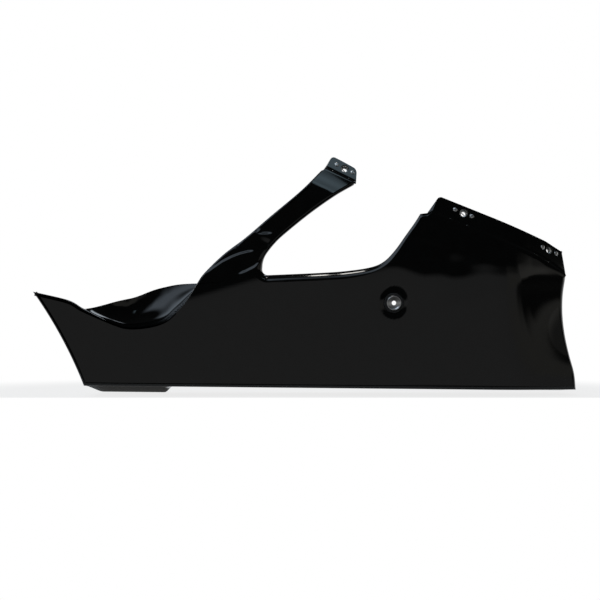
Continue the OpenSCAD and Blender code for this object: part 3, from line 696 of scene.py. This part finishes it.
def shadeLipUnderside(mesh):
    lipEnd = -pan["rearFootX"] + pan["tailLipLength"] + lip["past"]
    for face in mesh.polygons:
        x, y, z = (v / mm for v in face.center)
        under = face.material_index == 0 and face.normal.z < -0.6
        # painted shade: these faces of the lip's underside get the dark matte laminate finish
        if under and y > lip["behind"] and z < lip["below"] and x < lipEnd:
            face.material_index = 1


def addRod(cutters, matrix, diameter, sides):   # a rod across the wall, to cut a round hole
    r = diameter / 2 * mm
    bmesh.ops.create_cone(cutters, cap_ends=True, segments=sides, radius1=r, radius2=r,
                          depth=pan["cutLength"] * mm, matrix=matrix)


def makePan():
    mesh, places = panMesh()
    addSwages(mesh)
    shadeLipUnderside(mesh)
    obj = bpy.data.objects.new("panMoulding", mesh)
    bpy.context.collection.objects.link(obj)
    mesh.materials.append(makeMaterial("blackGelcoat", gelcoat))
    # the inside's bare laminate, also used as painted shade on the tail lip's underside
    mesh.materials.append(makeMaterial("bareLaminateAndLipShade", grained(panLooks["laminate"])))
    mesh.materials.append(makeMaterial("cutLaminate", grained(panLooks["cutEdge"])))
    cutters = bmesh.new()
    half = pan["rivetPitch"] / 2
    for place in places.values():
        m = hardwareMatrix(place)
        for x, size in ((0, pan["studHole"]), (-half, pan["rivetHole"]), (half, pan["rivetHole"])):
            addRod(cutters, m @ Matrix.Translation((x * mm, 0, 0)), size, pan["holeSides"])
    addRod(cutters, Matrix.Rotation(math.radians(90), 4, "X"), pan["wallHole"], pan["wallHoleSides"])
    cutMesh = bpy.data.meshes.new("holeCutters")
    cutters.to_mesh(cutMesh)
    cutters.free()
    cutter = bpy.data.objects.new("holeCutters", cutMesh)
    bpy.context.collection.objects.link(cutter)
    for mat in mesh.materials:
        cutMesh.materials.append(mat)
    cutMesh.polygons.foreach_set("material_index", [2] * len(cutMesh.polygons))
    mod = obj.modifiers.new("holes", "BOOLEAN")
    mod.operation = "DIFFERENCE"
    mod.solver = "EXACT"
    mod.object = cutter
    bpy.context.view_layer.objects.active = obj
    obj.select_set(True)
    bpy.ops.object.modifier_apply(modifier=mod.name)
    bpy.data.objects.remove(cutter)
    obj.data.polygons.foreach_set("use_smooth", [True] * len(obj.data.polygons))
    obj.data.set_sharp_from_angle(angle=math.radians(pan["sharpFrom"]))
    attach(obj, "root")
    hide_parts("panel_shell")
    print("moulding made:", len(obj.data.polygons), "faces")


makePan()


def metal(light, roughness, grain):
    dark = tuple(v * 0.8 for v in light)
    return {"dark": dark, "light": light, "grain": grain, "detail": 3, "roughness": roughness,
            "bump": (0.2, 0.0001), "metallic": 1.0}


# Finishes of the small pieces, by the word that is in their nodes' names
finishes = {
    "receptacle": ("platedSteel", metal((0.75, 0.76, 0.74), 0.3, 300)),
    "spring": ("springWire", metal((0.55, 0.55, 0.57), 0.25, 500)),
    "rivet": ("rivetAluminium", metal((0.8, 0.8, 0.79), 0.35, 400)),
    "mandrel": ("mandrelSteel", metal((0.3, 0.3, 0.31), 0.4, 600)),
    "grommet": ("grommetRubber", {
        "dark": (0.018, 0.018, 0.018), "light": (0.04, 0.04, 0.04), "grain": 300, "detail": 3,
        "roughness": 0.6, "bump": (0.3, 0.0002),
    }),
    "bush": ("bushAluminium", metal((0.7, 0.7, 0.7), 0.3, 200)),
}


def finishPieces():
    for word, (finish, look) in finishes.items():
        mat = makeMaterial(finish, grained(look))
        for name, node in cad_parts.items():
            if word in name:
                node.data.materials.clear()
                node.data.materials.append(mat)


finishPieces()
print("hardware finished")


# Stage: a pale floor that keeps the shadow, in a white room that is dim on the camera's side; sizes in metres
stageSetup = {
    "floorColour": (0.9, 0.9, 0.88),
    "floorFront": -0.03,            # the floor ends here and the white of the room goes on
    "floorBack": 3.0,
    "floorSide": 2.5,
    "floorGap": 0.0002,             # how far the floor lies below the part
    "cells": (20, 14),
    "shadowWhite": 0.8,             # share of plain white mixed into the floor beside the part
    "shadowCentre": (-0.12, 0.1),
    "shadowStretch": 0.55,          # the shaded patch is longer along X by one over this
    "shadowEdge": (0.24, 0.42),     # where it fades out
    "frontFade": 0.03,
    "whiteBelow": 0.15,             # the same share in what the gloss shows of the floor below the part
    "belowEdge": (0.05, 0.3),
    "wallTop": 0.32,                # sine of the elevation at which the white wall behind the part ends
    "wallFade": 0.1,
    "wallSides": (0.1, 0.3),        # how far behind a direction points where the wall starts
    "roomNear": 0.27,               # what the gloss sees level with the part, on the camera's side
    "nearFall": 0.9,                # share of that just below the change above
    "roomHigh": 0.02,               # what it sees above and below
    "highStart": 0.15,              # heights of the changes, as the sine of the elevation
    "highEnd": 0.27,
    "lowStart": -0.2,
    "lowEnd": -0.08,
    "sideways": [(0.0, 1.4), (0.3, 1.0), (0.7, 0.95), (1.0, 0.8)],   # brightness from left to right
}


def mathNode(nodes, links, kind, a, b=None):
    n = nodes.new("ShaderNodeMath")
    n.operation = kind
    for socket, value in zip(n.inputs, (a, b)):
        if value is None:
            continue
        if isinstance(value, (int, float)):
            socket.default_value = value
        else:
            links.new(value, socket)
    return n.outputs["Value"]


def mapRange(nodes, links, value, start, end, low, high):
    n = nodes.new("ShaderNodeMapRange")
    n.interpolation_type = "SMOOTHSTEP"
    n.inputs["From Min"].default_value = start
    n.inputs["From Max"].default_value = end
    n.inputs["To Min"].default_value = low
    n.inputs["To Max"].default_value = high
    links.new(value, n.inputs["Value"])
    return n.outputs["Result"]


def floorLook(nodes, links, shader):   # plain white away from the part, shaded beside and below it
    c = stageSetup
    shader.inputs["Base Color"].default_value = (*c["floorColour"], 1)
    shader.inputs["Roughness"].default_value = 0.9
    shader.inputs["Specular IOR Level"].default_value = 0.1
    emit = nodes.new("ShaderNodeEmission")
    emit.inputs["Strength"].default_value = 1.0
    path = nodes.new("ShaderNodeLightPath")
    coords = nodes.new("ShaderNodeTexCoord").outputs["Object"]
    split = nodes.new("ShaderNodeSeparateXYZ")
    links.new(coords, split.inputs["Vector"])
    atX, atY = c["shadowCentre"]
    alongX = mathNode(nodes, links, "ADD", split.outputs["X"], -atX)
    across = mathNode(nodes, links, "MULTIPLY", alongX, c["shadowStretch"])
    depth = mathNode(nodes, links, "ADD", split.outputs["Y"], -atY)
    far = mathNode(nodes, links, "SQRT", mathNode(
        nodes, links, "ADD",
        mathNode(nodes, links, "MULTIPLY", across, across),
        mathNode(nodes, links, "MULTIPLY", depth, depth)))
    away = mapRange(nodes, links, far, *c["shadowEdge"], c["shadowWhite"], 1.0)
    front = mapRange(nodes, links, split.outputs["Y"], c["floorFront"], c["frontFade"], 1.0, 0.0)
    shown = mathNode(nodes, links, "MAXIMUM", away, front)
    below = mapRange(nodes, links, split.outputs["Y"], *c["belowEdge"], c["whiteBelow"], 1.0)
    mirrored = mathNode(nodes, links, "MULTIPLY", mathNode(
        nodes, links, "MAXIMUM", path.outputs["Is Glossy Ray"], path.outputs["Is Transmission Ray"]), below)
    seen = mathNode(nodes, links, "MULTIPLY", path.outputs["Is Camera Ray"], shown)
    white = nodes.new("ShaderNodeMixShader")
    links.new(mathNode(nodes, links, "MAXIMUM", seen, mirrored), white.inputs["Fac"])
    links.new(shader.outputs["BSDF"], white.inputs[1])
    links.new(emit.outputs["Emission"], white.inputs[2])
    links.new(white.outputs["Shader"], nodes["Material Output"].inputs["Surface"])


def makeFloor(c):
    level = cadLow[2] - c["floorGap"]
    mesh = bpy.data.meshes.new("floor")
    nx, ny = c["cells"]
    xs = [-c["floorSide"] + 2 * c["floorSide"] * i / nx for i in range(nx + 1)]
    ys = [c["floorFront"] + (c["floorBack"] - c["floorFront"]) * i / ny for i in range(ny + 1)]
    verts = [(x, y, level) for y in ys for x in xs]
    corners = [j * (nx + 1) + i for j in range(ny) for i in range(nx)]
    mesh.from_pydata(verts, [], [(k, k + 1, k + nx + 2, k + nx + 1) for k in corners])
    floor = bpy.data.objects.new("floor", mesh)
    bpy.context.collection.objects.link(floor)
    mesh.materials.append(makeMaterial("paleFloor", floorLook))


# Soft fields of the room that the gloss shows, in degrees: from and to in azimuth and elevation, and the half
# width of their edges. Two are windows, two are pale walls and three are dark ones
fields = [
    {"azimuth": (-135, -3), "elevation": (38, 62), "edge": 8, "brightness": 1.3, "tint": (0.8, 0.94, 1.1)},
    {"azimuth": (146, 168), "elevation": (44, 56), "edge": 5, "brightness": 3.5, "tint": (0.86, 0.95, 1.05)},
    {"azimuth": (30, 86), "elevation": (1, 14), "edge": 3, "brightness": 0.25, "tint": (1, 0.98, 0.9)},
    {"azimuth": (48, 69), "elevation": (12, 16), "edge": 3, "brightness": 0.25, "tint": (1, 0.98, 0.9)},
    {"azimuth": (46, 78), "elevation": (-1.5, 2.5), "edge": 3, "brightness": 0.02, "tint": (1, 1, 1)},
    {"azimuth": (52, 78), "elevation": (0, 6), "edge": 2.5, "brightness": 0.02, "tint": (1, 1, 1)},
    {"azimuth": (63, 78), "elevation": (3, 8), "edge": 2.5, "brightness": 0.02, "tint": (1, 1, 1)},
]


def fieldShare(nodes, links, angles, c):   # 1 inside the field and 0 outside it
    share = 1.0
    for angle, (start, end) in zip(angles, (c["azimuth"], c["elevation"])):
        soft = math.radians(c["edge"])
        away = mathNode(nodes, links, "ABSOLUTE", mathNode(
            nodes, links, "SUBTRACT", angle, math.radians((start + end) / 2)))
        half = math.radians((end - start) / 2)
        inside = mapRange(nodes, links, away, half - soft, half + soft, 1.0, 0.0)
        share = mathNode(nodes, links, "MULTIPLY", inside, share)
    return share


def mixColour(nodes, links, kind, share, a, b):
    n = nodes.new("ShaderNodeMix")
    n.data_type = "RGBA"
    n.blend_type = kind
    for socket, value in (("Factor", share), ("A", a), ("B", b)):
        if isinstance(value, (float, tuple)):
            n.inputs[socket].default_value = value
        else:
            links.new(value, n.inputs[socket])
    return n.outputs["Result"]


def makeRoom(c):
    world = bpy.data.worlds.new("room")
    bpy.context.scene.world = world
    world.use_nodes = True
    nodes, links = world.node_tree.nodes, world.node_tree.links
    direction = nodes.new("ShaderNodeTexCoord").outputs["Generated"]
    split = nodes.new("ShaderNodeSeparateXYZ")
    links.new(direction, split.inputs["Vector"])
    height = ramp(nodes, links, mathNode(nodes, links, "ADD", split.outputs["Z"], 0.5), [
        (0.5 + c["lowStart"], (c["roomHigh"],) * 3),
        (0.5 + c["lowEnd"], (c["roomNear"],) * 3),
        (0.5 + c["highStart"], (c["roomNear"] * c["nearFall"],) * 3),
        (0.5 + c["highEnd"], (c["roomHigh"],) * 3),
    ])
    half = mathNode(nodes, links, "MULTIPLY", split.outputs["X"], 0.5)
    sideways = ramp(nodes, links, mathNode(nodes, links, "ADD", half, 0.5),
                    [(at, (bright,) * 3) for at, bright in c["sideways"]])
    room = mixColour(nodes, links, "MULTIPLY", 1.0, height.outputs["Color"], sideways.outputs["Color"])
    toFront = mathNode(nodes, links, "MULTIPLY", split.outputs["Y"], -1.0)
    angles = (mathNode(nodes, links, "ARCTAN2", split.outputs["X"], toFront),
              mathNode(nodes, links, "ARCSINE", split.outputs["Z"]))
    for field in fields:
        share = fieldShare(nodes, links, angles, field)
        bright = tuple(v * field["brightness"] for v in field["tint"]) + (1.0,)
        room = mixColour(nodes, links, "MIX", share, room, bright)
    behind = mapRange(nodes, links, split.outputs["Y"], *c["wallSides"], 0.0, 1.0)
    under = mapRange(nodes, links, split.outputs["Z"], c["wallTop"], c["wallTop"] + c["wallFade"], 1.0, 0.0)
    wall = mathNode(nodes, links, "MULTIPLY", behind, under)
    camera = nodes.new("ShaderNodeLightPath").outputs["Is Camera Ray"]
    whiteShare = mathNode(nodes, links, "MAXIMUM", wall, camera)
    shown = mixColour(nodes, links, "MIX", whiteShare, room, (1.0, 1.0, 1.0, 1.0))
    links.new(shown, nodes["Background"].inputs["Color"])


# Lamps: aim, distance and size in metres, the direction they stand in and their spread in degrees
lamps = {
    "overhead": {   # the bright line along the notch's floor
        "aim": (-0.127, 0, 0.045), "azimuth": 0, "elevation": 89, "distance": 0.7, "size": (0.03, 0.26),
        "spread": 32, "brightness": 0.6, "colour": (1.0, 0.98, 0.93),
    },
    "tipLight": {   # the sheen of the arm's end
        "aim": (-0.08, 0.04, 0.165), "azimuth": 15, "elevation": 50, "distance": 1.3, "size": (0.3, 0.3),
        "spread": 26, "brightness": 0.032, "colour": (0.66, 0.9, 1.05),
    },
    "edgeLight": {   # and of the front edge
        "aim": (0.235, 0.03, -0.03), "azimuth": 59, "elevation": 20.5, "distance": 0.6, "size": (0.28, 0.12),
        "spread": 180, "brightness": 0.12, "colour": (1.0, 0.98, 0.93),
    },
}


def areaLamp(name, c):
    az, el = math.radians(c["azimuth"]), math.radians(c["elevation"])
    aim = Vector(c["aim"])
    away = Vector((math.cos(el) * math.sin(az), -math.cos(el) * math.cos(az), math.sin(el)))
    data = bpy.data.lights.new(name, "AREA")
    data.shape = "RECTANGLE"
    data.size, data.size_y = c["size"]
    data.spread = math.radians(c["spread"])
    data.energy = c["brightness"] * math.pi * c["size"][0] * c["size"][1]
    data.color = c["colour"]
    lamp = bpy.data.objects.new(name, data)
    lamp.location = aim + c["distance"] * away
    lamp.rotation_euler = (-away).to_track_quat("-Z", "Y").to_euler()
    lamp.visible_camera = False
    bpy.context.collection.objects.link(lamp)


makeFloor(stageSetup)
makeRoom(stageSetup)
for name, setup in lamps.items():
    areaLamp(name, setup)
print("stage lit")

bpy.context.scene.view_settings.view_transform = "Standard"
